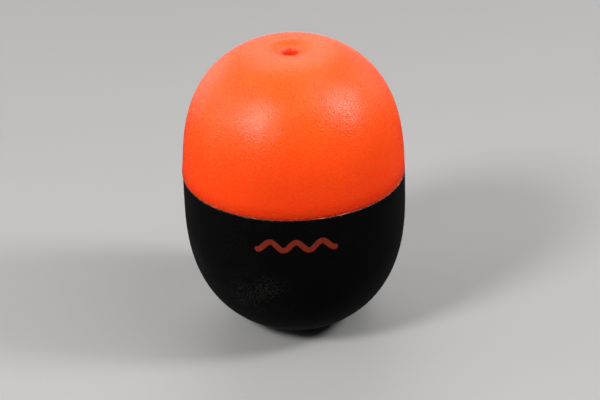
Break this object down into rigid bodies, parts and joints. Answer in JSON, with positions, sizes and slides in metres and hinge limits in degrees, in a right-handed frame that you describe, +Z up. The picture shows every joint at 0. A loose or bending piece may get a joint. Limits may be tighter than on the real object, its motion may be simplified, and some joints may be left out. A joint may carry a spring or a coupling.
{
  "type": "fishing float",
  "caption": "Egg-shaped through-line fishing float: orange dome and black bowl bonded over a central line tube, with a printed ripple.",
  "frame": {"origin": "middle of the flat base ring, on the plane that the float stands on", "axes": "+Z runs up the line tube towards the orange dome, -Y faces the printed mark, +X is to the right of it"},
  "size_m": [0.04, 0.04, 0.0531],
  "materials": {
    "dome_plastic": "satin moulded grain, fluorescent orange",
    "bowl_plastic": "satin moulded grain, black",
    "tube_plastic": "smooth orange",
    "cement": "clear to whitish set cement",
    "print_ink": "pad-printed orange-red ink"
  },
  "bodies": {
    "root": {"upper_shell": "dome_plastic", "lower_shell": "bowl_plastic", "line_tube": "tube_plastic", "seam_cement": "cement", "upper_tube_cement": "cement", "lower_tube_cement": "cement", "print_mark": "print_ink"}
  },
  "joints": []
}
